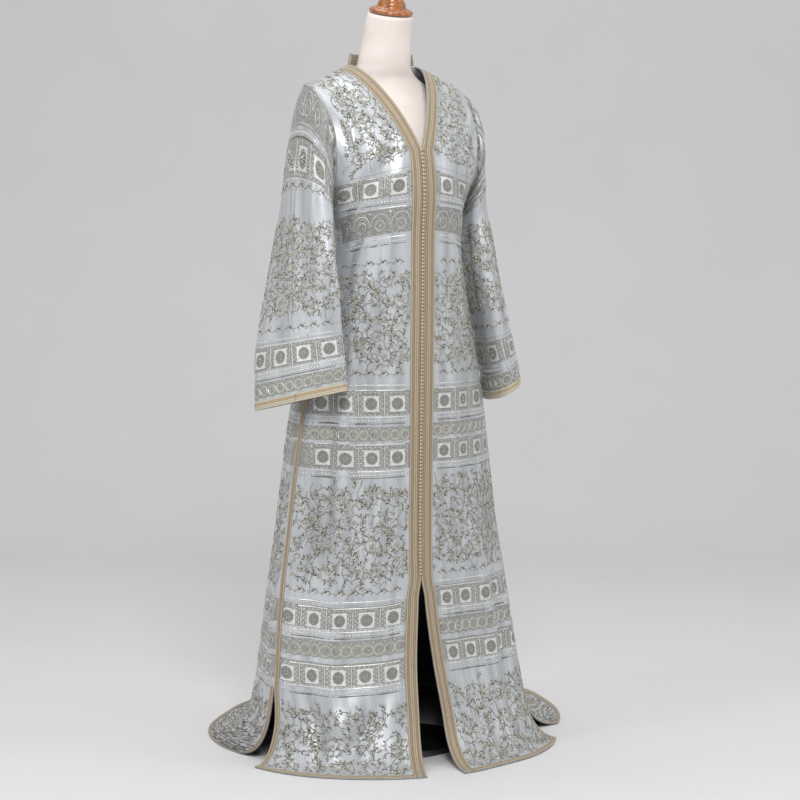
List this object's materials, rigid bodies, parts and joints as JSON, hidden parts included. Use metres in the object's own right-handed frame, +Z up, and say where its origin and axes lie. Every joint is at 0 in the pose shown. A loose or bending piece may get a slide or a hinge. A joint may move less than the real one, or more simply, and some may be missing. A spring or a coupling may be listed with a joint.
{
  "type": "moroccan kaftan on dress form",
  "caption": "Long silver-blue satin kaftan with gold braid and bands of raised vines and squares, buttoned down the front and worn on a limbless cream dress form.",
  "frame": {"origin": "on the floor, under the centre of the whole box", "axes": "+Z up, -Y towards the garment's front, -X towards the wearer's right"},
  "size_m": [0.8974, 0.8848, 1.6679],
  "materials": {
    "silver_blue_satin": "satin",
    "gold_corded_braid": "corded",
    "pale_gold_braid": "corded",
    "knotted_cord": "knotted",
    "raised_thread": "satin stitch",
    "cream_form_cloth": "matt",
    "varnished_wood": "gloss varnish",
    "grey_steel": "matt"
  },
  "bodies": {
    "root": {"front_right": "silver_blue_satin", "front_left": "silver_blue_satin", "back": "silver_blue_satin", "sleeve_right": "silver_blue_satin", "sleeve_left": "silver_blue_satin", "front_braid_right": "gold_corded_braid", "front_braid_left": "gold_corded_braid", "side_braid_right": "gold_corded_braid", "side_braid_left": "gold_corded_braid", "hem_braid_right": "gold_corded_braid", "hem_braid_left": "gold_corded_braid", "hem_braid_back": "gold_corded_braid", "slit_braid_right": "gold_corded_braid", "slit_braid_left": "gold_corded_braid", "collar_band": "gold_corded_braid", "cuff_braid_right": "pale_gold_braid", "cuff_braid_left": "pale_gold_braid", "button_row": "knotted_cord", "loop_row": "knotted_cord", "form_torso": "cream_form_cloth", "neck_cap": "varnished_wood", "stand_pole": "grey_steel", "stand_base": "grey_steel"}
  },
  "joints": []
}
